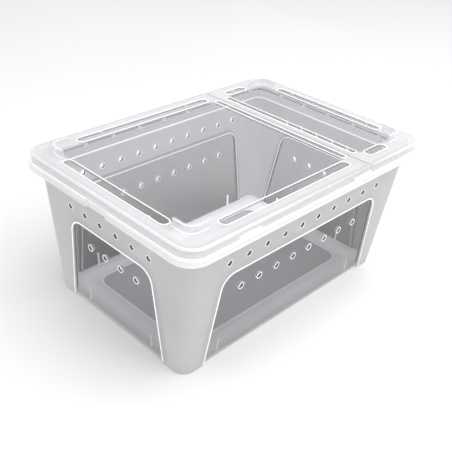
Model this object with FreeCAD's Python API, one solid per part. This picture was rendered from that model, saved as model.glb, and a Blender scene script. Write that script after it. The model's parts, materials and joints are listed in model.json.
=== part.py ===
"""Clear plastic livestock box with a frosted frame and a two-part flip-up lid.

Origin: centre of the footprint, at the height the feet stand on.
+X runs along the long side towards the small lid, +Z is up.  All lengths are in millimetres.
"""
import FreeCAD
import Part
import math
import os

Vector = FreeCAD.Vector
Z_AXIS = Vector(0, 0, 1)
X_AXIS = Vector(1, 0, 0)

# ---- overall size -------------------------------------------------------------------------
LENGTH = 320.0                  # over the rim flange, along X
WIDTH = 220.0                   # over the rim flange, along Y
LID_TOP = 144.5                 # top face of the lid plate
STACKING_RIB_HEIGHT = 7.5       # ribs that stand on the lid; the overall height is 152
LENGTH_MINUS_WIDTH_HALF = (LENGTH - WIDTH) / 2

# ---- tub walls ----------------------------------------------------------------------------
WALL_SLOPE = 0.08               # outward lean of every wall, mm per mm of height
WALL_HALF_WIDTH_BASE = 89.2     # outer half width of the tub at z = 0
WALL_THICKNESS = 2.0
WALL_CORNER_RADIUS = 12.0
FLOOR_UNDERSIDE = 1.5           # the floor hangs this far above the feet
FLOOR_TOP = 3.5
FROST_TOP = 125.0               # the frosted walls end here and the clear rim begins

# ---- rim ----------------------------------------------------------------------------------
RIM_TOP = 142.3
RIM_WALL = 1.4                  # thinner than the tub wall, so a small ledge runs round inside
FLANGE_BOTTOM = 129.0
FLANGE_TOP = 135.0
FLANGE_CORNER_RADIUS = 20.0
FLANGE_LIP = 1.6
FLANGE_PLATE = 1.8
FLANGE_ROUND = 1.0
FINGER_NOTCH_WIDTH = 25.0
FINGER_NOTCH_HEIGHT = 2.5

# ---- windows: half widths at the foot and at the shoulder, then heights ---------------------
WINDOW_SHOULDER = 84.5
WINDOW_TOP = 94.5
WINDOW_CORNER_RADIUS = 14.0
LONG_WINDOW = (115.0, 107.0)
SHORT_WINDOW = (64.0, 54.0)
WINDOW_OVERLAP = 2.5            # each pane is this much larger than its opening
WINDOW_THICKNESS = 1.8
OPENING_FOOT = -6.0             # the window openings run down past the floor to here
FLOOR_WINDOW_HALF = (111.0, 65.0)
FLOOR_WINDOW_RADIUS = 12.0

# ---- air holes: number in the row and pitch ------------------------------------------------
HOLE_DIAMETER = 5.5
UPPER_ROW_HEIGHT = 108.0
LOWER_ROW_HEIGHT = 72.3
LONG_PITCH = 22.8
SHORT_PITCH = 20.9
LONG_UPPER_COUNT = 10
LONG_LOWER_COUNT = 8
SHORT_UPPER_COUNT = 6
SHORT_LOWER_COUNT = 4

# ---- small gussets at the foot of the windows ----------------------------------------------
LONG_GUSSET_PLACE = 95.0
SHORT_GUSSET_PLACE = 44.0
GUSSET_WIDTH = 1.2
GUSSET_DEPTH = 1.5
GUSSET_HEIGHT = 13.5

# ---- lid ----------------------------------------------------------------------------------
LID_INSET = 2.0                 # the skirt stands this far inside the flange edge
LID_PLATE = 2.0
LID_SKIRT = 1.8
LID_SKIRT_BOTTOM = 135.3
LID_CORNER_RADIUS = 18.0
LID_ROUND = 2.4
SEAM_X = 68.0                   # hinge line between the two lid sections
SEAM_GAP = 1.2
VENT_INNER = (137.0, 86.5)      # half sizes of the clear panel, inside the outer vents
VENT_OUTER = (146.0, 95.8)
VENT_SEAM_LARGE = (57.8, 64.0)  # vent of the large lid beside the seam, low and high X
VENT_SEAM_SMALL = (74.5, 80.2)  # vent of the small lid beside the seam
VENT_END_HALF_WIDTH = 66.0      # vents along the short sides
VENT_SEAM_HALF_WIDTH = 83.0
VENT_SIDE_LARGE = (-110.0, 54.0)
VENT_SIDE_SMALL = (84.0, 113.0)
PANEL_CORNER_RADIUS = 6.0
VENT_TOOTH = (3.0, 1.5)         # length along the vent and reach into it
SIDE_TEETH = (-81.0, 27.0, 98.5)
END_TEETH = (-49.0, 49.0)

LOCATING_RIB_GAP = 1.0          # clearance inside the rim wall
LOCATING_RIB_BOTTOM = 136.5
LOCATING_RIB_THICKNESS = 1.4
LOCATING_RIB_RADIUS = 9.0
GUIDE_TOOTH = (3.0, 3.0)        # width and drop of the guide teeth below the locating rib
GUIDE_PITCH = 32.5
GUIDE_CORNER_GAP = 12.0         # no guide tooth nearer than this to the small lid's end
END_GUIDES = (-2, -1, 0, 1, 2)  # guide teeth across each end, in pitches

STACKING_RIB_OUTER = (141.5, 90.5)
STACKING_RIB_THICKNESS = 2.0
STACKING_RIB_ARMS = (20.0, 19.5)
STACKING_RIB_RADIUS = 10.0

GRIP_PADS = ((-111.0, -87.0), (38.0, 64.0))
GRIP_PAD_HEIGHTS = (138.3, 142.0)
GRIP_PAD_DEPTH = 1.2
SKIRT_NOTCHES = ((-57.0, -33.0), (87.0, 112.0))
SKIRT_NOTCH_HEIGHT = 2.0
FINGER_TAB_WIDTH = 24.0
FINGER_TAB_HEIGHT = 4.4
FINGER_TAB_DEPTH = 1.9

HINGE_WEB_THICKNESS = 0.5
HINGE_WEB_HALF_LENGTH = 104.0

TILT = math.degrees(math.atan(WALL_SLOPE))
FAR = 400.0                     # longer than the whole object, for cutting boxes
OVERCUT = 1.0                   # how far a cutter runs past the face that it cuts


# ---- helpers ------------------------------------------------------------------------------
def box(low, high):
    """Axis-aligned block between two corners."""
    size = [b - a for a, b in zip(low, high)]
    return Part.makeBox(size[0], size[1], size[2], Vector(*low))


def rounded_outline(points, radii):
    """Closed wire through points in the XZ plane, with an arc of its own radius at each point."""
    count = len(points)
    starts, mids, ends = [], [], []
    for i, (point, radius) in enumerate(zip(points, radii)):
        corner = Vector(point[0], 0, point[1])
        before = Vector(points[i - 1][0], 0, points[i - 1][1]) - corner
        after = Vector(points[(i + 1) % count][0], 0, points[(i + 1) % count][1]) - corner
        before.normalize()
        after.normalize()
        half_angle = before.getAngle(after) / 2
        reach = radius / math.tan(half_angle)
        bisector = (before + after).normalize()
        centre = corner + bisector * (radius / math.sin(half_angle))
        starts.append(corner + before * reach)
        ends.append(corner + after * reach)
        mids.append(centre - bisector * radius)
    edges = []
    for i in range(count):
        if radii[i] > 0:
            edges.append(Part.Arc(starts[i], mids[i], ends[i]).toShape())
        edges.append(Part.makeLine(ends[i], starts[(i + 1) % count]))
    return Part.Wire(edges)


def rectangle_wire(half_x, half_y, radius, z, centre_x=0.0):
    """Rounded rectangle in a horizontal plane."""
    points = [(-half_x, -half_y), (half_x, -half_y), (half_x, half_y), (-half_x, half_y)]
    wire = rounded_outline(points, [radius] * len(points))
    wire.rotate(Vector(0, 0, 0), X_AXIS, 90)
    wire.translate(Vector(centre_x, 0, z))
    return wire


def rounded_block(half_x, half_y, radius, z_low, z_high, centre_x=0.0):
    """Upright block with rounded vertical edges."""
    face = Part.Face(rectangle_wire(half_x, half_y, radius, z_low, centre_x))
    return face.extrude(Vector(0, 0, z_high - z_low))


def wall_half_width(z, inset):
    """Half width of the leaning tub wall at height z, moved inwards by inset."""
    return WALL_HALF_WIDTH_BASE + WALL_SLOPE * z - inset


def leaning_block(z_low, z_high, inset):
    """Block bounded by the leaning tub walls, moved inwards by inset."""
    wires = []
    for z in (z_low, z_high):
        half = wall_half_width(z, inset)
        radius = WALL_CORNER_RADIUS - inset
        wires.append(rectangle_wire(half + LENGTH_MINUS_WIDTH_HALF, half, radius, z))
    return Part.makeLoft(wires, True, True)


def stadium(low, high, z_low, z_high):
    """Slot cutter with fully rounded ends along its longer side."""
    half_x = (high[0] - low[0]) / 2
    half_y = (high[1] - low[1]) / 2
    radius = min(half_x, half_y) - 0.01
    cutter = rounded_block(half_x, half_y, radius, z_low, z_high)
    cutter.translate(Vector((low[0] + high[0]) / 2, (low[1] + high[1]) / 2, 0))
    return cutter


def round_top_edges(block, z_top, radius):
    """Round every edge that lies in the block's top face."""
    edges = [e for e in block.Edges if abs(e.BoundBox.ZMin - z_top) + abs(e.BoundBox.ZMax - z_top) < 0.01]
    return block.makeFillet(radius, edges)


def on_wall(shape, turn, is_short):
    """Carry a shape built in the wall's own plane to its wall.

    In the wall's plane X runs along the wall, Z is up the wall and -Y points outwards.
    The plane is the inner face of the tub wall.
    """
    distance = WALL_HALF_WIDTH_BASE - WALL_THICKNESS
    if is_short:
        distance += LENGTH_MINUS_WIDTH_HALF
    placed = shape.copy()
    placed.rotate(Vector(0, 0, 0), X_AXIS, TILT)
    placed.translate(Vector(0, -distance, 0))
    placed.rotate(Vector(0, 0, 0), Z_AXIS, turn)
    return placed


def window_outline(halves, z_foot, grow):
    """Window shape: wider at the foot, leaning sides and rounded shoulders."""
    lean = (halves[0] - halves[1]) / WINDOW_SHOULDER
    foot = halves[0] - lean * z_foot + grow
    top = halves[0] - lean * WINDOW_TOP + grow
    head = WINDOW_TOP + grow
    points = [(-foot, z_foot), (foot, z_foot), (top, head), (-top, head)]
    shoulder = WINDOW_CORNER_RADIUS + grow
    return Part.Face(rounded_outline(points, [0, 0, shoulder, shoulder]))


def hole_cutters(count, pitch, height):
    """A level row of air-hole drills, centred on the wall."""
    drills = []
    for i in range(count):
        along = (i - (count - 1) / 2) * pitch
        start = Vector(along, -4 * WALL_THICKNESS, height)
        drills.append(Part.makeCylinder(HOLE_DIAMETER / 2, 8 * WALL_THICKNESS, start, Vector(0, 1, 0)))
    return drills


# Each wall: name, turn about Z, whether it is a short wall
WALLS = (("front", 0, False), ("right", 90, True), ("back", 180, False), ("left", 270, True))


# ---- tub ----------------------------------------------------------------------------------
def make_tub_frame():
    """Frosted walls, corner posts and feet, with four window openings and one in the floor."""
    frame = leaning_block(0, FROST_TOP, 0).cut(leaning_block(FLOOR_TOP, FROST_TOP + OVERCUT, WALL_THICKNESS))
    cutters = [box((-LONG_WINDOW[0], -FAR, -OVERCUT), (LONG_WINDOW[0], FAR, FLOOR_UNDERSIDE))]
    cutters.append(box((-FAR, -SHORT_WINDOW[0], -OVERCUT), (FAR, SHORT_WINDOW[0], FLOOR_UNDERSIDE)))
    half_x, half_y = FLOOR_WINDOW_HALF
    cutters.append(rounded_block(half_x, half_y, FLOOR_WINDOW_RADIUS, 0, FLOOR_TOP + OVERCUT))
    for _, turn, is_short in WALLS:
        halves = SHORT_WINDOW if is_short else LONG_WINDOW
        opening = window_outline(halves, OPENING_FOOT, 0).extrude(Vector(0, -6 * WALL_THICKNESS, 0))
        cutters.append(on_wall(opening, turn, is_short))
        count = SHORT_UPPER_COUNT if is_short else LONG_UPPER_COUNT
        pitch = SHORT_PITCH if is_short else LONG_PITCH
        cutters += [on_wall(d, turn, is_short) for d in hole_cutters(count, pitch, UPPER_ROW_HEIGHT)]
    return frame.cut(cutters)


def make_window(turn, is_short):
    """Clear pane behind a window opening, with its row of air holes."""
    halves = SHORT_WINDOW if is_short else LONG_WINDOW
    pane = window_outline(halves, FLOOR_TOP, WINDOW_OVERLAP).extrude(Vector(0, WINDOW_THICKNESS, 0))
    count = SHORT_LOWER_COUNT if is_short else LONG_LOWER_COUNT
    pitch = SHORT_PITCH if is_short else LONG_PITCH
    pane = pane.cut(hole_cutters(count, pitch, LOWER_ROW_HEIGHT))
    placed = on_wall(pane, turn, is_short)
    return placed.cut(box((-FAR, -FAR, 0), (FAR, FAR, FLOOR_TOP)))


def make_foot_gussets():
    """Eight small upright ribs, two at the foot of each window, inside the tub."""
    gussets = []
    for _, turn, is_short in WALLS:
        place = SHORT_GUSSET_PLACE if is_short else LONG_GUSSET_PLACE
        for along in (-place, place):
            low = (along - GUSSET_WIDTH / 2, WINDOW_THICKNESS, FLOOR_TOP - OVERCUT)
            high = (along + GUSSET_WIDTH / 2, WINDOW_THICKNESS + GUSSET_DEPTH, FLOOR_TOP + GUSSET_HEIGHT)
            placed = on_wall(box(low, high), turn, is_short)
            gussets.append(placed.cut(box((-FAR, -FAR, 0), (FAR, FAR, FLOOR_TOP))))
    return Part.makeCompound(gussets)


def make_floor_window():
    """Clear pane in the floor."""
    half_x, half_y = FLOOR_WINDOW_HALF
    return rounded_block(half_x, half_y, FLOOR_WINDOW_RADIUS, FLOOR_UNDERSIDE, FLOOR_TOP)


def make_tub_neck():
    """Clear upper wall of the tub, thinner than the frosted wall below it."""
    return leaning_block(FROST_TOP, RIM_TOP, 0).cut(leaning_block(FROST_TOP - OVERCUT, RIM_TOP + OVERCUT, RIM_WALL))


def make_tub_flange():
    """Turned-down flange round the neck, with a finger notch at each short side."""
    outer = rounded_block(LENGTH / 2, WIDTH / 2, FLANGE_CORNER_RADIUS, FLANGE_BOTTOM, FLANGE_TOP)
    outer = round_top_edges(outer, FLANGE_TOP, FLANGE_ROUND)
    pocket = rounded_block(LENGTH / 2 - FLANGE_LIP, WIDTH / 2 - FLANGE_LIP, FLANGE_CORNER_RADIUS - FLANGE_LIP,
                           FLANGE_BOTTOM - OVERCUT, FLANGE_TOP - FLANGE_PLATE)
    flange = outer.cut(pocket).cut(leaning_block(FROST_TOP, RIM_TOP, 0))
    half_notch = FINGER_NOTCH_WIDTH / 2
    for side in (-1, 1):
        edge = side * LENGTH / 2
        reach = 2 * FLANGE_LIP
        flange = flange.cut(box((edge - reach, -half_notch, FLANGE_BOTTOM - OVERCUT),
                                (edge + reach, half_notch, FLANGE_BOTTOM + FINGER_NOTCH_HEIGHT)))
    return flange.removeSplitter()


# ---- lid ----------------------------------------------------------------------------------
def vent_slots(is_large):
    """Low and high corners, in plan, of the vents of one lid section."""
    inner_x, inner_y = VENT_INNER
    outer_x, outer_y = VENT_OUTER
    side = VENT_SIDE_LARGE if is_large else VENT_SIDE_SMALL
    seam = VENT_SEAM_LARGE if is_large else VENT_SEAM_SMALL
    end = (-outer_x, -inner_x) if is_large else (inner_x, outer_x)
    return (((side[0], -outer_y), (side[1], -inner_y)), ((side[0], inner_y), (side[1], outer_y)),
            ((end[0], -VENT_END_HALF_WIDTH), (end[1], VENT_END_HALF_WIDTH)),
            ((seam[0], -VENT_SEAM_HALF_WIDTH), (seam[1], VENT_SEAM_HALF_WIDTH)))


def section_bounds(is_large):
    """Low and high X of one lid section."""
    if is_large:
        return (-LENGTH / 2 - OVERCUT, SEAM_X - SEAM_GAP / 2)
    return (SEAM_X + SEAM_GAP / 2, LENGTH / 2 + OVERCUT)


def panel_bounds(is_large):
    """Low and high X of the clear panel of one lid section."""
    if is_large:
        return (-VENT_INNER[0], VENT_SEAM_LARGE[0])
    return (VENT_SEAM_SMALL[1], VENT_INNER[0])


def panel_block(is_large, z_low, z_high):
    """The clear panel's own outline as an upright block."""
    low, high = panel_bounds(is_large)
    half_x = (high - low) / 2
    return rounded_block(half_x, VENT_INNER[1], PANEL_CORNER_RADIUS, z_low, z_high, (low + high) / 2)


def in_section(shape, is_large):
    """Keep only what lies on one section's side of the seam."""
    low, high = section_bounds(is_large)
    return shape.common(box((low, -FAR, 0), (high, FAR, FAR)))


def make_lid_shell():
    """Plate and skirt of the whole lid, before it is parted at the seam."""
    half_x = LENGTH / 2 - LID_INSET
    half_y = WIDTH / 2 - LID_INSET
    shell = rounded_block(half_x, half_y, LID_CORNER_RADIUS, LID_SKIRT_BOTTOM, LID_TOP)
    shell = round_top_edges(shell, LID_TOP, LID_ROUND)
    shell = shell.cut(rounded_block(half_x - LID_SKIRT, half_y - LID_SKIRT, LID_CORNER_RADIUS - LID_SKIRT,
                                    LID_SKIRT_BOTTOM - OVERCUT, LID_TOP - LID_PLATE))
    low, high = GRIP_PAD_HEIGHTS
    for side in (-1, 1):
        for start, end in GRIP_PADS:
            near, far = sorted((side * (half_y - LID_SKIRT / 2), side * (half_y + GRIP_PAD_DEPTH)))
            shell = shell.fuse(box((start, near, low), (end, far, high)))
        near, far = sorted((side * (half_x - LID_SKIRT / 2), side * (half_x + FINGER_TAB_DEPTH)))
        shell = shell.fuse(box((near, -FINGER_TAB_WIDTH / 2, LID_SKIRT_BOTTOM),
                               (far, FINGER_TAB_WIDTH / 2, LID_SKIRT_BOTTOM + FINGER_TAB_HEIGHT)))
    for start, end in SKIRT_NOTCHES:
        shell = shell.cut(box((start, -FAR, LID_SKIRT_BOTTOM - OVERCUT),
                              (end, FAR, LID_SKIRT_BOTTOM + SKIRT_NOTCH_HEIGHT)))
    return shell


def vent_teeth(is_large):
    """Small teeth that reach into the outer vents."""
    length, reach = VENT_TOOTH
    low, high = section_bounds(is_large)
    teeth = []
    for side in (-1, 1):
        near, far = sorted((side * (VENT_OUTER[1] - reach), side * (VENT_OUTER[1] + OVERCUT)))
        for x in SIDE_TEETH:
            if low < x < high:
                teeth.append(box((x - length / 2, near, LID_TOP - LID_PLATE), (x + length / 2, far, LID_TOP)))
    end = -1 if is_large else 1
    near, far = sorted((end * (VENT_OUTER[0] - reach), end * (VENT_OUTER[0] + OVERCUT / 4)))
    for y in END_TEETH:
        teeth.append(box((near, y - length / 2, LID_TOP - LID_PLATE), (far, y + length / 2, LID_TOP)))
    return teeth


def make_lid_frame(shell, is_large):
    """Frosted border and skirt of one lid section, pierced by its vents."""
    frame = in_section(shell, is_large)
    z_low = LID_TOP - LID_PLATE - OVERCUT
    z_high = LID_TOP + OVERCUT
    cutters = [panel_block(is_large, z_low, z_high)]
    cutters += [stadium(low, high, z_low, z_high) for low, high in vent_slots(is_large)]
    return frame.cut(cutters).fuse(vent_teeth(is_large)).removeSplitter()


def make_lid_window(is_large):
    """Clear panel of one lid section."""
    return panel_block(is_large, LID_TOP - LID_PLATE, LID_TOP)


def make_locating_rib(is_large):
    """Rib under the lid that drops inside the rim wall, with small guide teeth along its sides."""
    inset = RIM_WALL + LOCATING_RIB_GAP
    half_y = wall_half_width(LOCATING_RIB_BOTTOM, inset)
    half_x = half_y + LENGTH_MINUS_WIDTH_HALF
    z_high = LID_TOP - LID_PLATE
    ring = rounded_block(half_x, half_y, LOCATING_RIB_RADIUS, LOCATING_RIB_BOTTOM, z_high)
    ring = ring.cut(rounded_block(half_x - LOCATING_RIB_THICKNESS, half_y - LOCATING_RIB_THICKNESS,
                                  LOCATING_RIB_RADIUS - LOCATING_RIB_THICKNESS,
                                  LOCATING_RIB_BOTTOM - OVERCUT, z_high + OVERCUT))
    rib = in_section(ring, is_large)
    width, drop = GUIDE_TOOTH
    low, high = section_bounds(is_large)
    first = math.ceil((low + 2 * LID_CORNER_RADIUS) / GUIDE_PITCH)
    last = math.floor((high - width) / GUIDE_PITCH) if is_large else math.floor((half_x - GUIDE_CORNER_GAP) / GUIDE_PITCH)
    for side in (-1, 1):
        near, far = sorted((side * (half_y - LOCATING_RIB_THICKNESS), side * half_y))
        for i in range(first, last + 1):
            x = i * GUIDE_PITCH
            rib = rib.fuse(box((x - width / 2, near, LOCATING_RIB_BOTTOM - drop),
                               (x + width / 2, far, LOCATING_RIB_BOTTOM + OVERCUT)))
    end = -1 if is_large else 1
    near, far = sorted((end * (half_x - LOCATING_RIB_THICKNESS), end * half_x))
    for i in END_GUIDES:
        y = i * GUIDE_PITCH
        rib = rib.fuse(box((near, y - width / 2, LOCATING_RIB_BOTTOM - drop),
                           (far, y + width / 2, LOCATING_RIB_BOTTOM + OVERCUT)))
    return rib.removeSplitter()


def make_stacking_ribs(is_large):
    """Two L-shaped ribs that stand on the lid's corners and keep a second box from sliding off."""
    outer_x, outer_y = STACKING_RIB_OUTER
    t = STACKING_RIB_THICKNESS
    arm_x, arm_y = STACKING_RIB_ARMS
    top = LID_TOP + STACKING_RIB_HEIGHT
    ring = rounded_block(outer_x, outer_y, STACKING_RIB_RADIUS, LID_TOP, top)
    ring = ring.cut(rounded_block(outer_x - t, outer_y - t, STACKING_RIB_RADIUS - t, LID_TOP - OVERCUT, top + OVERCUT))
    end = -1 if is_large else 1
    ribs = []
    for side in (-1, 1):
        near_x, far_x = sorted((end * (outer_x - arm_x), end * (outer_x + OVERCUT)))
        near_y, far_y = sorted((side * (outer_y - arm_y), side * (outer_y + OVERCUT)))
        ribs.append(ring.common(box((near_x, near_y, LID_TOP), (far_x, far_y, top))))
    return Part.makeCompound(ribs)


def make_hinge_web():
    """Thin flexible strip that joins the two lid sections along the seam."""
    half = SEAM_GAP / 2
    return box((SEAM_X - half, -HINGE_WEB_HALF_LENGTH, LID_TOP - HINGE_WEB_THICKNESS),
               (SEAM_X + half, HINGE_WEB_HALF_LENGTH, LID_TOP))


# ---- write one STEP per piece --------------------------------------------------------------
def main():
    pieces = {"tub_frame": make_tub_frame(), "tub_neck": make_tub_neck(), "tub_flange": make_tub_flange(),
              "floor_window": make_floor_window(), "foot_gussets": make_foot_gussets()}
    for name, turn, is_short in WALLS:
        pieces[name + "_window"] = make_window(turn, is_short)
    shell = make_lid_shell()
    for name, is_large in (("large_lid", True), ("small_lid", False)):
        pieces[name + "_frame"] = make_lid_frame(shell, is_large)
        pieces[name + "_window"] = make_lid_window(is_large)
        pieces[name + "_locating_rib"] = make_locating_rib(is_large)
        pieces[name + "_stacking_ribs"] = make_stacking_ribs(is_large)
    pieces["hinge_web"] = make_hinge_web()
    os.makedirs("parts", exist_ok=True)
    for name, shape in pieces.items():
        print(name, "valid", shape.isValid(), "solids", len(shape.Solids), "volume", round(shape.Volume, 1))
        shape.exportStep("parts/" + name + ".step")


main()
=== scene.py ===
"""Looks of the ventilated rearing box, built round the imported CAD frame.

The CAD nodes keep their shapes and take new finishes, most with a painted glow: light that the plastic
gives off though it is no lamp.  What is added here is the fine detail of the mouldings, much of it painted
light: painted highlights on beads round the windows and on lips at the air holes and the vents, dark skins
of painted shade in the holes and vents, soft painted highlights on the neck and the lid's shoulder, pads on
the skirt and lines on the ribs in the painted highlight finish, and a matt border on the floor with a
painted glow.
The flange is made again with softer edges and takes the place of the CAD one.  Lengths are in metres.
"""

import json
import math

import bmesh
import bpy
from mathutils import Matrix, Vector


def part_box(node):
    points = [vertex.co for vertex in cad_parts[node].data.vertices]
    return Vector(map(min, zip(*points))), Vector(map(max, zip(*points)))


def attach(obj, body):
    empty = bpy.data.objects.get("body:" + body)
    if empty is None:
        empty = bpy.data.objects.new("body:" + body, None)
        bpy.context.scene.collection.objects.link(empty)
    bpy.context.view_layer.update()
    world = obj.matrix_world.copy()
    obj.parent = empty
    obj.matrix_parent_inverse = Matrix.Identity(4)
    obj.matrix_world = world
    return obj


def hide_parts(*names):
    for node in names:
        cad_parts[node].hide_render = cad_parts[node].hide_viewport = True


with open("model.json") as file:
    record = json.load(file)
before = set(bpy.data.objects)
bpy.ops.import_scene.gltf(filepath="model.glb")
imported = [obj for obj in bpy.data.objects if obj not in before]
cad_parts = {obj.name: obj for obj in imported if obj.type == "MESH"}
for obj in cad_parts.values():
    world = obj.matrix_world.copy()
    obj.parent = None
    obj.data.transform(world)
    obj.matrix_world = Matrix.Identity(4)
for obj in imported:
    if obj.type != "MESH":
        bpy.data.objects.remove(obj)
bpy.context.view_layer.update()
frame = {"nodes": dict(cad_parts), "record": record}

MM = 0.001

# ---- places read from the frame --------------------------------------------------------------
FLANGE_LOW, FLANGE_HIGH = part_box("tub_flange")
NECK_LOW, NECK_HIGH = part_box("tub_neck")
_, FLOOR_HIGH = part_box("floor_window")
LID_LOW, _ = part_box("large_lid_frame")
LARGE_PANEL_LOW, LARGE_PANEL_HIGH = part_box("large_lid_window")
_, SMALL_PANEL_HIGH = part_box("small_lid_window")
HINGE_LOW, HINGE_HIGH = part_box("hinge_web")

LID_TOP = LARGE_PANEL_HIGH.z
LID_UNDERSIDE = LARGE_PANEL_LOW.z
FLANGE_HALF = (FLANGE_HIGH.x, FLANGE_HIGH.y)
LENGTH_EXTRA = FLANGE_HIGH.x - FLANGE_HIGH.y    # the half length is this much more than the half width

# ---- shared sizes of the mouldings ------------------------------------------------------------
WALL_SLOPE = 0.08
WALL_BASE = 87.2 * MM            # half width over the inner faces of the walls at the foot
WALL_THICKNESS = 2.0 * MM
WALL_CORNER = 12.0 * MM
NECK_WALL = 1.4 * MM
PANE_THICKNESS = 1.8 * MM
FROST_TOP = NECK_LOW.z
LONG_WINDOW = (115.0 * MM, 107.0 * MM)          # half widths at the foot and at the shoulder
SHORT_WINDOW = (64.0 * MM, 54.0 * MM)
WINDOW_SHOULDER = 84.5 * MM
WINDOW_TOP = 94.5 * MM
WINDOW_CORNER = 14.0 * MM
WINDOW_OVERLAP = 2.5 * MM
WINDOW_SET_BACK = 0.3 * MM       # from the edge of an opening to the middle of its bead
WINDOW_FOOT_OUTSIDE = 2 * MM     # height at which the beads round a window start
WINDOW_FOOT_INSIDE = 5 * MM
FLOOR_PANE_CORNER = 12 * MM
FLOOR_PANE_GAP = 0.7 * MM        # from the clear pane in the floor to its matt border
FLOOR_CORNER = 9 * MM
UPPER_ROW = 108.0 * MM
LOWER_ROW = 72.3 * MM
LONG_PITCH = 22.8 * MM
SHORT_PITCH = 20.9 * MM
LONG_COUNTS = (10, 8)            # air holes in the upper and in the lower row
SHORT_COUNTS = (6, 4)
HOLE_RADIUS = 2.75 * MM
FLANGE_CORNER = 20.0 * MM
NOTCH_WIDTH = 25.0 * MM
NOTCH_HEIGHT = 2.5 * MM
LID_CORNER = 18.0 * MM
LID_ROUND = 2.4 * MM
LID_HALF = (FLANGE_HALF[0] - 2.0 * MM, FLANGE_HALF[1] - 2.0 * MM)
VENT_OUTER = (146.0 * MM, 95.8 * MM)
VENT_END_HALF = 66.0 * MM
VENT_SEAM_HALF = 83.0 * MM
VENT_SIDE_LARGE = (-110.0 * MM, 54.0 * MM)
VENT_SIDE_SMALL = (84.0 * MM, 113.0 * MM)
SEAM_VENT_LARGE = (57.8 * MM, 64.0 * MM)
SEAM_VENT_SMALL = (74.5 * MM, 80.2 * MM)
SEAM_GAP = 0.6 * MM               # from the hinge to the trim of a section
RIB_ARM = 19.5 * MM
RIB_CORNER = 10.0 * MM
SKIRT_PADS = ((-106.0 * MM, -82.0 * MM), (43.0 * MM, 67.0 * MM))

# Each wall: name, turn about Z in degrees, whether it is a short wall
WALLS = (("front", 0, False), ("right", 90, True), ("back", 180, False), ("left", 270, True))

ARC_STEPS = 10
EDGE_GAP = 0.04 * MM             # a bead keeps this clear of the moulding that it trims
BORE_SKIN = 0.1 * MM             # thickness of the dark skin of painted shade in a hole or vent

# ---- shared numbers of the finishes -----------------------------------------------------------
PLASTIC_IOR = 1.49
GLANCE_BLEND = 0.025             # how early the gloss grows towards a glancing view
CLOUD_SCALE = 6.0                # noise scale of the slow changes in milkiness
GRAIN_STRENGTH = 0.4
NOISE_LOW, NOISE_HIGH = 0.3, 0.7  # the part of the noise that is stretched

# Noise scale and depth of a surface
FROST = (900, 0.05 * MM)
POLISH = (40, 0.04 * MM)
SATIN = (120, 0.04 * MM)

# Slot or edge: greys of the milky part, tint, share of the milky part, roughness, grain, glow, own light
# (own light is a painted glow: light that the plastic gives off though it is no lamp)
FINISHES = {
    "frosted_tub": ((0.56, 0.62), 0.96, (0.7, 0.76), (0.4, 0.55), FROST, 0.35, 0.17),
    "clear_tub": ((0.6, 0.7), 0.66, (0.03, 0.045), (0.03, 0.08), POLISH),
    "clear_floor": ((0.74, 0.82), 0.92, (0.4, 0.48), (0.06, 0.14), POLISH, 0.3, 0.14),
    "clear_neck": ((0.6, 0.7), 0.76, (0.05, 0.07), (0.04, 0.1), POLISH),
    "clear_rim": ((0.9, 0.94), 0.98, (0.7, 0.76), (0.12, 0.2), SATIN, 0.3, 0.15),
    "frosted_lid": ((0.8, 0.84), 0.98, (0.46, 0.52), (0.16, 0.26), SATIN, 0.3, 0.14),
    "clear_lid": ((0.7, 0.8), 0.96, (0.025, 0.04), (0.03, 0.08), POLISH),
    "clear_ribs": ((0.82, 0.86), 0.98, (0.4, 0.46), (0.1, 0.18), SATIN, 0.3, 0.1),
    # Paler ribs, with more painted glow to lift them out of their shade
    "pale_painted_glow_ribs": ((0.86, 0.9), 0.97, (0.5, 0.56), (0.1, 0.18), SATIN, 0.3, 0.25),
    "clear_hinge": ((0.45, 0.55), 0.8, (0.3, 0.4), (0.1, 0.2), SATIN),
    # Border on the floor: matt, with a strong painted glow that lifts it out of the shade under the lid
    "matt_painted_lit_border": ((0.84, 0.9), 0.96, (0.7, 0.78), (0.4, 0.55), FROST, 0.35, 0.46),
    # Soft painted highlight on rounded edges, with its own glow
    "soft_painted_highlight": ((0.88, 0.92), 0.98, (0.66, 0.72), (0.2, 0.3), SATIN, 0.3, 0.1),
    # Grey skin in the vents: painted shade
    "painted_vent_shade": ((0.6, 0.7), 0.9, (0.2, 0.3), (0.1, 0.2), SATIN),
    # Dark skin in the holes: painted shade
    "painted_hole_shade": ((0.16, 0.22), 0.7, (0.5, 0.6), (0.05, 0.12), POLISH),
    # Bright beads, lips and lines: painted highlights that glow though they are no lamp
    "painted_highlight": ((0.93, 0.96), 0.98, (0.9, 0.95), (0.12, 0.2), SATIN, 0.3, 0.45),
}


# ---- node helpers -------------------------------------------------------------------------
def new_material(name):
    """A material with only an output node."""
    material = bpy.data.materials.new(name)
    material.use_nodes = True
    nodes = material.node_tree.nodes
    nodes.clear()
    return material, nodes, material.node_tree.links, nodes.new("ShaderNodeOutputMaterial")


def noise(nodes, links, scale, detail, roughness=0.5):
    """Object-space noise."""
    place = nodes.new("ShaderNodeTexCoord")
    texture = nodes.new("ShaderNodeTexNoise")
    texture.inputs["Scale"].default_value = scale
    texture.inputs["Detail"].default_value = detail
    texture.inputs["Roughness"].default_value = roughness
    links.new(place.outputs["Object"], texture.inputs["Vector"])
    return texture.outputs["Fac"]


def spread(nodes, links, value, low, high):
    """Noise values stretched to a range."""
    node = nodes.new("ShaderNodeMapRange")
    node.inputs["From Min"].default_value = NOISE_LOW
    node.inputs["From Max"].default_value = NOISE_HIGH
    node.inputs["To Min"].default_value = low
    node.inputs["To Max"].default_value = high
    links.new(value, node.inputs["Value"])
    return node.outputs["Result"]


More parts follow.
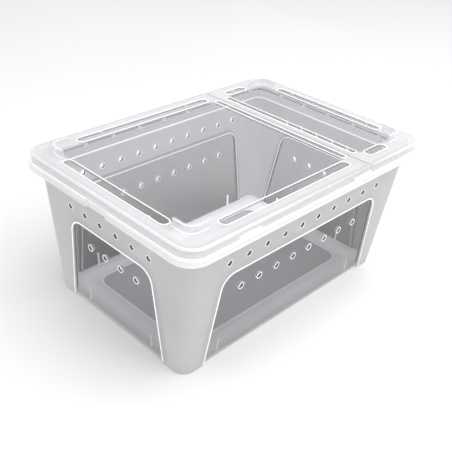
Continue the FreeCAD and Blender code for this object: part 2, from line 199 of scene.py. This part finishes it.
def tone(nodes, links, value, dark, light):
    """Colour between two greys."""
    ramp = nodes.new("ShaderNodeValToRGB")
    ramp.color_ramp.elements[0].position = NOISE_LOW
    ramp.color_ramp.elements[0].color = (*dark, 1)
    ramp.color_ramp.elements[1].position = NOISE_HIGH
    ramp.color_ramp.elements[1].color = (*light, 1)
    links.new(value, ramp.inputs["Fac"])
    return ramp.outputs["Color"]


def bump(nodes, links, height, strength, distance):
    """Normal from a height."""
    node = nodes.new("ShaderNodeBump")
    node.inputs["Strength"].default_value = strength
    node.inputs["Distance"].default_value = distance
    links.new(height, node.inputs["Height"])
    return node.outputs["Normal"]


def plastic(name, body, tint, solid, gloss, grain, glow=0.0, painted_glow=0.0):
    """Moulded plastic that is partly see-through.

    body: dark and light grey of the milky part.  tint: share of the light that passes each face.
    solid: least and most share of the milky part.  gloss: least and most roughness.
    grain: noise scale and depth of the surface.  glow: share of the milky part that scatters light through.
    The last argument is a painted glow: light that the milky part gives off though it is no lamp, standing
    in for light carried inside the plastic.
    """
    material, nodes, links, output = new_material(name)
    cloud = noise(nodes, links, CLOUD_SCALE, 3.0)
    fine = noise(nodes, links, grain[0], 2.0)
    roughness = spread(nodes, links, fine, *gloss)
    normal = bump(nodes, links, fine, GRAIN_STRENGTH, grain[1])
    colour = tone(nodes, links, cloud, grey(body[0]), grey(body[1]))
    milky = nodes.new("ShaderNodeBsdfPrincipled")
    milky.inputs["IOR"].default_value = PLASTIC_IOR
    links.new(colour, milky.inputs["Base Color"])
    links.new(roughness, milky.inputs["Roughness"])
    links.new(normal, milky.inputs["Normal"])
    # Painted glow: white light that the milky part gives off, though it is no lamp
    milky.inputs["Emission Color"].default_value = (1, 1, 1, 1)
    milky.inputs["Emission Strength"].default_value = painted_glow
    milky = milky.outputs["BSDF"]
    if glow > 0:
        through = nodes.new("ShaderNodeBsdfTranslucent")
        links.new(colour, through.inputs["Color"])
        lit = nodes.new("ShaderNodeMixShader")
        lit.inputs["Fac"].default_value = glow
        links.new(milky, lit.inputs[1])
        links.new(through.outputs["BSDF"], lit.inputs[2])
        milky = lit.outputs["Shader"]
    clear = nodes.new("ShaderNodeBsdfTransparent")
    clear.inputs["Color"].default_value = (*grey(tint), 1)
    shine = nodes.new("ShaderNodeBsdfGlossy")
    links.new(roughness, shine.inputs["Roughness"])
    links.new(normal, shine.inputs["Normal"])
    glance = nodes.new("ShaderNodeLayerWeight")
    glance.inputs["Blend"].default_value = GLANCE_BLEND
    links.new(normal, glance.inputs["Normal"])
    face = nodes.new("ShaderNodeMixShader")
    links.new(glance.outputs["Facing"], face.inputs["Fac"])
    links.new(clear.outputs["BSDF"], face.inputs[1])
    links.new(shine.outputs["BSDF"], face.inputs[2])
    mix = nodes.new("ShaderNodeMixShader")
    links.new(spread(nodes, links, cloud, *solid), mix.inputs["Fac"])
    links.new(face.outputs["Shader"], mix.inputs[1])
    links.new(milky, mix.inputs[2])
    links.new(mix.outputs["Shader"], output.inputs["Surface"])
    return material


def grey(value):
    """A very slightly cool grey."""
    return (value, value, value * 1.01)


MATERIALS = {name: plastic(name, *values) for name, values in FINISHES.items()}

# Nodes whose finish is not the one of their slot
FINISH_OF_NODE = {
    "floor_window": "clear_floor",
    # The locating ribs take the paler finish with more painted glow
    "large_lid_locating_rib": "pale_painted_glow_ribs",
    "small_lid_locating_rib": "pale_painted_glow_ribs",
    # The gussets take the painted highlight finish, so that they glow behind the panes
    "foot_gussets": "painted_highlight",
}


# ---- mesh helpers -------------------------------------------------------------------------
def rounded_path(corners, radii, closed=True):
    """Points of a polyline in the plane with an arc at each corner."""
    count = len(corners)
    points = []
    for i, (corner, radius) in enumerate(zip(corners, radii)):
        here = Vector(corner)
        if radius <= 0 or (not closed and i in (0, count - 1)):
            points.append(here)
            continue
        before = (Vector(corners[i - 1]) - here).normalized()
        after = (Vector(corners[(i + 1) % count]) - here).normalized()
        half = before.angle(after) / 2
        bisector = (before + after).normalized()
        centre = here + bisector * (radius / math.sin(half))
        start = here + before * (radius / math.tan(half)) - centre
        end = here + after * (radius / math.tan(half)) - centre
        sweep_angle = start.angle(end)
        for k in range(ARC_STEPS + 1):
            t = k / ARC_STEPS
            blend = (start * math.sin((1 - t) * sweep_angle) + end * math.sin(t * sweep_angle))
            points.append(centre + blend / math.sin(sweep_angle))
    return points


def rectangle(half_x, half_y, radius, centre=(0.0, 0.0)):
    """Rounded rectangle in plan."""
    x, y = centre
    signs = ((-1, -1), (1, -1), (1, 1), (-1, 1))
    corners = [(x + along * half_x, y + across * half_y) for along, across in signs]
    return rounded_path(corners, [radius] * len(corners))


def window_outline(halves, foot, grow):
    """Outline of a window opening in its wall's plane."""
    lean = (halves[0] - halves[1]) / WINDOW_SHOULDER
    low = halves[0] - lean * foot + grow
    top = halves[0] - lean * WINDOW_TOP + grow
    corner = WINDOW_CORNER + grow
    corners = [(low, foot), (top, WINDOW_TOP + grow), (-top, WINDOW_TOP + grow), (-low, foot)]
    return rounded_path(corners, [0, corner, corner, 0], closed=False)


def circle(centre, radius, steps=20):
    """Circle in a plane."""
    return [Vector((centre[0] + radius * math.cos(math.tau * k / steps),
                    centre[1] + radius * math.sin(math.tau * k / steps))) for k in range(steps)]


def sweep(paths, profile, place, closed=True):
    """Vertices and faces of a profile carried along each path.

    A path lies in its own XY plane, and place carries it into the scene.  The profile's first number points
    to the right of the path's direction and its second one out of the plane.
    """
    verts, faces = [], []
    width = len(profile)
    for path in paths:
        first = len(verts)
        count = len(path)
        for i, point in enumerate(path):
            back = path[i - 1] if closed or i > 0 else path[i]
            ahead = path[(i + 1) % count] if closed or i < count - 1 else path[i]
            into = (point - back).normalized() if (point - back).length > 0 else None
            out = (ahead - point).normalized() if (ahead - point).length > 0 else None
            into = into or out
            out = out or into
            along = (into + out).normalized()
            side = Vector((along.y, -along.x)) / max(along.dot(into), 0.3)
            for across, up in profile:
                verts.append(place @ Vector((point.x + side.x * across, point.y + side.y * across, up)))
        spans = count if closed else count - 1
        for i in range(spans):
            a = first + i * width
            b = first + ((i + 1) % count) * width
            for k in range(width):
                n = (k + 1) % width
                faces.append((a + k, b + k, b + n, a + n))
        if not closed:
            faces.append(tuple(first + k for k in range(width)))
            last = first + (count - 1) * width
            faces.append(tuple(last + k for k in reversed(range(width))))
    return verts, faces


def plate_ring(outer, inner, low, high):
    """Flat plate between two outlines that have the same number of points."""
    verts, faces = [], []
    for far, near in zip(outer, inner):
        corners = ((*far, low), (*far, high), (*near, high), (*near, low))
        verts.extend(Vector(corner) for corner in corners)
    for i in range(len(outer)):
        a, b = 4 * i, 4 * ((i + 1) % len(outer))
        for k in range(4):
            n = (k + 1) % 4
            faces.append((a + k, b + k, b + n, a + n))
    return verts, faces


def bead(width, height, steps=8):
    """Half-round profile that stands on a face."""
    points = []
    for k in range(steps + 1):
        angle = math.pi * k / steps
        points.append((width / 2 * math.cos(angle), EDGE_GAP + height * math.sin(angle)))
    return points


def ring(radius, centre=(0.0, 0.0), steps=10):
    """Round profile."""
    return [(centre[0] + radius * math.cos(math.tau * k / steps),
             centre[1] + radius * math.sin(math.tau * k / steps)) for k in range(steps)]


def piece(name, parts, material, body):
    """One smooth-shaded mesh from several sweeps, riding on its body."""
    verts, faces = [], []
    for part_verts, part_faces in parts:
        start = len(verts)
        verts.extend(part_verts)
        faces.extend(tuple(start + i for i in face) for face in part_faces)
    mesh = bpy.data.meshes.new(name)
    mesh.from_pydata([tuple(v) for v in verts], [], faces)
    mesh.validate()
    mesh.update()
    mesh.materials.append(MATERIALS[material])
    for polygon in mesh.polygons:
        polygon.use_smooth = True
    made = bpy.data.objects.new(name, mesh)
    bpy.context.scene.collection.objects.link(made)
    tidy_normals(made)
    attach(made, body)
    return made


def tidy_normals(made):
    """Consistent outward faces."""
    work = bmesh.new()
    work.from_mesh(made.data)
    bmesh.ops.remove_doubles(work, verts=work.verts, dist=1e-7)
    bmesh.ops.recalc_face_normals(work, faces=work.faces)
    work.to_mesh(made.data)
    work.free()


# ---- places -------------------------------------------------------------------------------
def level(z):
    """A horizontal plane at height z."""
    return Matrix.Translation((0, 0, z))


def wall_plane(turn, is_short, outwards):
    """The plane of a wall: X along it, Y up it and Z out of the box.

    outwards is how far the plane lies out from the wall's inner face.
    """
    distance = WALL_BASE + (LENGTH_EXTRA if is_short else 0)
    stand = Matrix.Rotation(math.radians(90), 4, "X")
    tilt = Matrix.Rotation(math.atan(WALL_SLOPE), 4, "X")
    turned = Matrix.Rotation(math.radians(turn), 4, "Z")
    shift = Matrix.Translation((0, 0, outwards))
    return turned @ Matrix.Translation((0, -distance, 0)) @ tilt @ stand @ shift


def flipped(plane):
    """The same plane seen from its other side."""
    return plane @ Matrix.Rotation(math.pi, 4, "Y")


def hole_row(count, pitch, height):
    """Centres of a level row of air holes."""
    return [((i - (count - 1) / 2) * pitch, height) for i in range(count)]


# ---- tub ----------------------------------------------------------------------------------
def add_window_edges(name, turn, is_short):
    """Beads with painted highlights round a window on both sides, and the frosted band where pane and wall
    overlap.
    """
    halves = SHORT_WINDOW if is_short else LONG_WINDOW
    face = wall_plane(turn, is_short, WALL_THICKNESS)
    behind = flipped(wall_plane(turn, is_short, -PANE_THICKNESS))
    outer_line = window_outline(halves, WINDOW_FOOT_OUTSIDE, WINDOW_SET_BACK)
    inner_line = window_outline(halves, WINDOW_FOOT_INSIDE, WINDOW_SET_BACK)
    middle_line = window_outline(halves, WINDOW_FOOT_INSIDE, WINDOW_OVERLAP / 2 + WINDOW_SET_BACK)
    outside = sweep([outer_line], bead(1.5 * MM, 0.35 * MM), face, closed=False)
    inside = sweep([inner_line], bead(1.0 * MM, 0.4 * MM), behind, closed=False)
    piece(name + "_window_edge", [outside, inside], "painted_highlight", "tub")
    band = sweep([middle_line], bead(WINDOW_OVERLAP, 0.25 * MM), behind, closed=False)
    piece(name + "_window_rebate", [band], "frosted_tub", "tub")


def hole_collar(centres, plane, lip):
    """Thin rounded lips round a row of holes."""
    paths = [circle(c, HOLE_RADIUS + lip) for c in centres]
    return sweep(paths, ring(lip), plane)


def skin_profile(depth):
    """Thin skin that lines a hole or a vent down to depth."""
    inward = -EDGE_GAP - BORE_SKIN
    return [(-EDGE_GAP, 0), (inward, 0), (inward, -depth), (-EDGE_GAP, -depth)]


def hole_bore(centres, plane, depth):
    """Dark skins of painted shade on the inner walls of a row of holes, from the face in plane to depth
    below it.
    """
    return sweep([circle(c, HOLE_RADIUS) for c in centres], skin_profile(depth), plane)


def add_hole_collars(name, turn, is_short):
    """Lips with painted highlights and walls with painted shade, for both rows of air holes of one wall."""
    pitch = SHORT_PITCH if is_short else LONG_PITCH
    upper_count, lower_count = SHORT_COUNTS if is_short else LONG_COUNTS
    upper = hole_row(upper_count, pitch, UPPER_ROW)
    lower = hole_row(lower_count, pitch, LOWER_ROW)
    thin, thick = 0.26 * MM, 0.42 * MM
    rows = [hole_collar(upper, wall_plane(turn, is_short, WALL_THICKNESS), thin),
            hole_collar(upper, wall_plane(turn, is_short, 0), thin),
            hole_collar(lower, wall_plane(turn, is_short, 0), thick),
            hole_collar(lower, wall_plane(turn, is_short, -PANE_THICKNESS), thin)]
    piece(name + "_hole_collars", rows, "painted_highlight", "tub")
    bores = [hole_bore(upper, wall_plane(turn, is_short, WALL_THICKNESS), WALL_THICKNESS),
             hole_bore(lower, wall_plane(turn, is_short, 0), PANE_THICKNESS)]
    piece(name + "_hole_bores", bores, "painted_hole_shade", "tub")


def add_neck_ledge():
    """Step inside the tub where the frosted wall ends, with a painted highlight, and the neck's rounded top,
    with a soft painted highlight.
    """
    inner_half = WALL_BASE + WALL_SLOPE * FROST_TOP
    line = rectangle(inner_half + LENGTH_EXTRA, inner_half, WALL_CORNER - WALL_THICKNESS)
    ledge = sweep([line], ring(0.75 * MM, (0.1 * MM, 0.3 * MM)), level(FROST_TOP))
    half_wall = NECK_WALL / 2
    middle = (NECK_HIGH.x - half_wall, NECK_HIGH.y - half_wall)
    brim = sweep([rectangle(*middle, WALL_CORNER - half_wall)], bead(1.2 * MM, 0.1 * MM), level(NECK_HIGH.z))
    piece("neck_ledge", [ledge], "painted_highlight", "tub")
    piece("neck_brim", [brim], "soft_painted_highlight", "tub")


def add_floor_edge():
    """Painted highlight on a bead round the clear pane in the floor, and the matt border outside it, with a
    painted glow that lifts it out of its shade.
    """
    half_x, half_y = FLOOR_HIGH.x, FLOOR_HIGH.y
    line = rectangle(half_x, half_y, FLOOR_PANE_CORNER)
    edge = sweep([line], bead(1.2 * MM, 0.3 * MM), level(FLOOR_HIGH.z))
    piece("floor_window_edge", [edge], "painted_highlight", "tub")
    wall_gap = 0.3 * MM
    out_y = WALL_BASE + WALL_SLOPE * FLOOR_HIGH.z - wall_gap
    outer = rectangle(out_y + LENGTH_EXTRA, out_y, FLOOR_CORNER)
    inner = rectangle(half_x + FLOOR_PANE_GAP, half_y + FLOOR_PANE_GAP, FLOOR_PANE_CORNER + FLOOR_PANE_GAP)
    border = plate_ring(outer, inner, FLOOR_HIGH.z + EDGE_GAP, FLOOR_HIGH.z + 2 * EDGE_GAP)
    piece("floor_border", [border], "matt_painted_lit_border", "tub")


def flange_outline():
    """Plan of the flange's outer edge, with extra points at the ends of the finger notches."""
    half_x, half_y = FLANGE_HALF
    path = rectangle(half_x, half_y, FLANGE_CORNER)
    notch = NOTCH_WIDTH / 2
    step = 0.4 * MM
    right = [Vector((half_x, y)) for y in (-notch - step, -notch, notch, notch + step)]
    left = [Vector((-half_x, y)) for y in (notch + step, notch, -notch, -notch - step)]
    corner = len(path) // 4
    return path[:2 * corner] + right + path[2 * corner:] + left


def flange_profile(rise):
    """Section of the flange, hollow below; the outer lip ends rise higher at a finger notch."""
    top = FLANGE_HIGH.z
    foot = FLANGE_LOW.z + rise
    lip, plate, soft = 1.6 * MM, 1.8 * MM, 0.5 * MM
    inner = -(FLANGE_HIGH.y - (WALL_BASE + WALL_THICKNESS + WALL_SLOPE * top))
    groove = -0.25 * MM
    underside = [(inner, top - plate), (-lip, top - plate), (-lip, foot + soft), (-lip + soft, foot)]
    lower_edge = [(-soft, foot), (0, foot + soft), (0, foot + 3 * soft)]
    hollow = [(groove, foot + 3.6 * soft), (groove, top - 3.4 * soft)]
    upper_edge = [(0, top - 2.8 * soft), (0, top - 1.6 * soft), (-0.3 * MM, top - 0.6 * soft)]
    return underside + lower_edge + hollow + upper_edge + [(-1.0 * MM, top), (inner, top)]


def add_flange():
    """The turned-down flange with soft edges, a shallow groove and a finger notch at each short side."""
    path = flange_outline()
    verts, faces = sweep([path], flange_profile(0.0), level(0))
    notched = flange_profile(NOTCH_HEIGHT)
    width = len(notched)
    half_notch = NOTCH_WIDTH / 2 + EDGE_GAP
    for i, point in enumerate(path):
        if abs(point.y) <= half_notch:
            for k, (_, up) in enumerate(notched):
                verts[i * width + k].z = up
    flange = piece("flange", [(verts, faces)], "clear_rim", "tub")
    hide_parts("tub_flange")


# ---- lid ----------------------------------------------------------------------------------
def slot_path(low_x, high_x, low_y, high_y, grow):
    """Outline of a vent with round ends."""
    half_x = (high_x - low_x) / 2 + grow
    half_y = (high_y - low_y) / 2 + grow
    centre = ((low_x + high_x) / 2, (low_y + high_y) / 2)
    roundness = 0.99                 # just under a half circle, so that the straight sides keep a length
    return rectangle(half_x, half_y, min(half_x, half_y) * roundness, centre)


def vent_paths(is_large, grow):
    """Outlines of the vents of one lid section, widened by grow."""
    panel_high = LARGE_PANEL_HIGH if is_large else SMALL_PANEL_HIGH
    side = VENT_SIDE_LARGE if is_large else VENT_SIDE_SMALL
    seam = SEAM_VENT_LARGE if is_large else SEAM_VENT_SMALL
    inner_y = panel_high.y
    inner_x = SMALL_PANEL_HIGH.x
    end = (-VENT_OUTER[0], -inner_x) if is_large else (inner_x, VENT_OUTER[0])
    return [
        slot_path(*side, -VENT_OUTER[1], -inner_y, grow),
        slot_path(*side, inner_y, VENT_OUTER[1], grow),
        slot_path(*end, -VENT_END_HALF, VENT_END_HALF, grow),
        slot_path(*seam, -VENT_SEAM_HALF, VENT_SEAM_HALF, grow),
    ]


def add_vent_lips(name, is_large):
    """Lip with a painted highlight round every vent of one lid section, on top, and a grey skin of painted
    shade on the wall of the vent.
    """
    above = sweep(vent_paths(is_large, 0.45 * MM), bead(0.9 * MM, 0.4 * MM), level(LID_TOP))
    piece(name + "_vent_lips", [above], "painted_highlight", name)
    depth = LID_TOP - LID_UNDERSIDE
    bores = sweep(vent_paths(is_large, 0), skin_profile(depth), level(LID_TOP))
    piece(name + "_vent_bores", [bores], "painted_vent_shade", name)


def lid_trim(is_large, radius_out, profile, z):
    """A profile carried round the outer edge of one lid section, from seam to seam."""
    half_x = LID_HALF[0] + radius_out
    half_y = LID_HALF[1] + radius_out
    corner = LID_CORNER + radius_out
    if is_large:
        seam = HINGE_LOW.x - SEAM_GAP
        corners = [(seam, half_y), (-half_x, half_y), (-half_x, -half_y), (seam, -half_y)]
    else:
        seam = HINGE_HIGH.x + SEAM_GAP
        corners = [(seam, -half_y), (half_x, -half_y), (half_x, half_y), (seam, half_y)]
    line = rounded_path(corners, [0, corner, corner, 0], closed=False)
    return sweep([line], profile, level(z), closed=False)


def shoulder_profile(radius, band, steps=8):
    """Crescent that lies on a rounded shoulder of the given radius."""
    angles = [math.pi / 2 * k / steps for k in range(steps + 1)]
    lifted, inner = [], []
    for k, angle in enumerate(angles):
        across, up = math.cos(angle), math.sin(angle)
        thick = EDGE_GAP + band * math.sin(math.pi * k / steps)
        lifted.append((radius * across - radius + thick * across, radius * up - radius + thick * up))
        inner.append((radius * across - radius + EDGE_GAP * across, radius * up - radius + EDGE_GAP * up))
    return lifted + inner[-2:0:-1]


def add_lid_trim(name, is_large):
    """Soft painted highlight on the shoulder, and a painted highlight on the rounded foot, of one section's
    skirt.
    """
    shoulder = lid_trim(is_large, 0, shoulder_profile(LID_ROUND, 0.15 * MM), LID_TOP)
    foot = lid_trim(is_large, 0, ring(0.45 * MM, (0.1 * MM, 0.5 * MM)), LID_LOW.z)
    piece(name + "_shoulder", [shoulder], "soft_painted_highlight", name)
    piece(name + "_skirt_edge", [foot], "painted_highlight", name)


def add_skirt_pads():
    """Low pads on the large section's skirt, along both long sides, in the painted highlight finish."""
    deep, high, soft = 1.5 * MM, 4.4 * MM, 0.4 * MM
    outer_face = [(deep - soft, 0), (deep, soft), (deep, high - 2 * soft), (deep - soft, high - soft)]
    profile = [(EDGE_GAP, 0)] + outer_face + [(EDGE_GAP, high)]
    sweeps = []
    for side in (-1, 1):
        for pad in SKIRT_PADS:
            ends = [Vector((x, side * LID_HALF[1])) for x in pad[::-side]]
            sweeps.append(sweep([ends], profile, level(LID_LOW.z), closed=False))
    piece("large_lid_skirt_pads", sweeps, "painted_highlight", "large_lid")


def add_rib_edges(name, is_large):
    """Painted highlight lines along the foot and along the outer top edge of the L-shaped ribs."""
    low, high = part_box(name + "_stacking_ribs")
    out_x = low.x if is_large else high.x
    in_x = high.x if is_large else low.x
    sweeps = []
    for side in (-1, 1):
        out_y = side * high.y
        corners = [(in_x, out_y), (out_x, out_y), (out_x, out_y - side * RIB_ARM)]
        if (side > 0) != is_large:
            corners.reverse()
        path = rounded_path(corners, [0, RIB_CORNER, 0], closed=False)
        sweeps.append(sweep([path], ring(0.45 * MM, (0.0, 0.3 * MM)), level(LID_TOP), closed=False))
        sweeps.append(sweep([path], ring(0.3 * MM, (0.0, -0.35 * MM)), level(high.z), closed=False))
    piece(name + "_rib_edges", sweeps, "painted_highlight", name)


# ---- stage --------------------------------------------------------------------------------
def add_floor():
    """Plain pale floor."""
    size = 30.0
    mesh = bpy.data.meshes.new("floor")
    corners = [(-size, -size, 0), (size, -size, 0), (size, size, 0), (-size, size, 0)]
    mesh.from_pydata(corners, [], [(0, 1, 2, 3)])
    floor = bpy.data.objects.new("floor", mesh)
    bpy.context.scene.collection.objects.link(floor)
    material, nodes, links, output = new_material("pale_floor")
    surface = nodes.new("ShaderNodeBsdfPrincipled")
    patches = noise(nodes, links, 3.0, 2.0)
    colour = tone(nodes, links, patches, (0.84, 0.84, 0.84), (0.86, 0.86, 0.86))
    links.new(colour, surface.inputs["Base Color"])
    surface.inputs["Roughness"].default_value = 0.9
    surface.inputs["Specular IOR Level"].default_value = 0.1
    links.new(surface.outputs["BSDF"], output.inputs["Surface"])
    mesh.materials.append(material)


def add_area_light(name, place, aim, size, power):
    """Round soft light at a place, turned to its aim."""
    light = bpy.data.lights.new(name, "AREA")
    light.shape = "DISK"
    light.size = size
    light.energy = power
    lamp = bpy.data.objects.new(name, light)
    bpy.context.scene.collection.objects.link(lamp)
    lamp.location = place
    lamp.rotation_euler = (Vector(aim) - Vector(place)).to_track_quat("-Z", "Y").to_euler()


def add_lights():
    """Soft white surround with one large key light from the front right."""
    world = bpy.data.worlds.new("studio")
    bpy.context.scene.world = world
    world.use_nodes = True
    background = world.node_tree.nodes["Background"]
    background.inputs["Color"].default_value = (1, 1, 1, 1)
    background.inputs["Strength"].default_value = 0.78
    key_place = (0.15, -0.5, 1.4)
    box_middle = (0, 0, 0.07)
    add_area_light("key", key_place, box_middle, size=1.8, power=18)


def add_camera():
    """The photograph's viewing angle."""
    azimuth, elevation, roll = math.radians(-46.39), math.radians(32.18), math.radians(3.90)
    distance = 0.6896
    aim = Vector((0, 0, 0.075))
    slide = (-0.0240, -0.0199)
    flat = math.cos(elevation)
    back = Vector((math.sin(azimuth) * flat, -math.cos(azimuth) * flat, math.sin(elevation)))
    right = (-back).cross(Vector((0, 0, 1))).normalized()
    up = right.cross(-back)
    rolled_right = right * math.cos(roll) + up * math.sin(roll)
    rolled_up = up * math.cos(roll) - right * math.sin(roll)
    data = bpy.data.cameras.new("camera")
    data.sensor_width = 36
    data.lens = 55.79
    data.shift_x = 0.0498
    data.shift_y = 0.0044
    data.clip_start = 0.01
    data.clip_end = 50
    camera = bpy.data.objects.new("camera", data)
    bpy.context.scene.collection.objects.link(camera)
    turn = Matrix((rolled_right, rolled_up, back)).transposed().to_4x4()
    place = aim + back * distance + rolled_right * slide[0] + rolled_up * slide[1]
    camera.matrix_world = Matrix.Translation(place) @ turn
    bpy.context.scene.camera = camera


def dress_cad_nodes():
    """The CAD nodes keep their shape and take the finish of their slot, or their own in FINISH_OF_NODE."""
    for row in frame["record"]["subparts"]:
        finish = FINISH_OF_NODE.get(row["node"], row["material_slot"])
        for holder in frame["nodes"][row["node"]].material_slots:
            holder.material = MATERIALS[finish]


def main():
    """Finishes, added pieces, then stage, lights and camera."""
    dress_cad_nodes()
    for name, turn, is_short in WALLS:
        add_window_edges(name, turn, is_short)
        add_hole_collars(name, turn, is_short)
    add_neck_ledge()
    add_floor_edge()
    add_flange()
    add_vent_lips("large_lid", True)
    add_vent_lips("small_lid", False)
    add_lid_trim("large_lid", True)
    add_lid_trim("small_lid", False)
    add_skirt_pads()
    add_rib_edges("large_lid", True)
    add_rib_edges("small_lid", False)
    add_floor()
    add_lights()
    add_camera()
    scene = bpy.context.scene
    scene.view_settings.view_transform = "Standard"
    scene.cycles.transparent_max_bounces = 32


main()
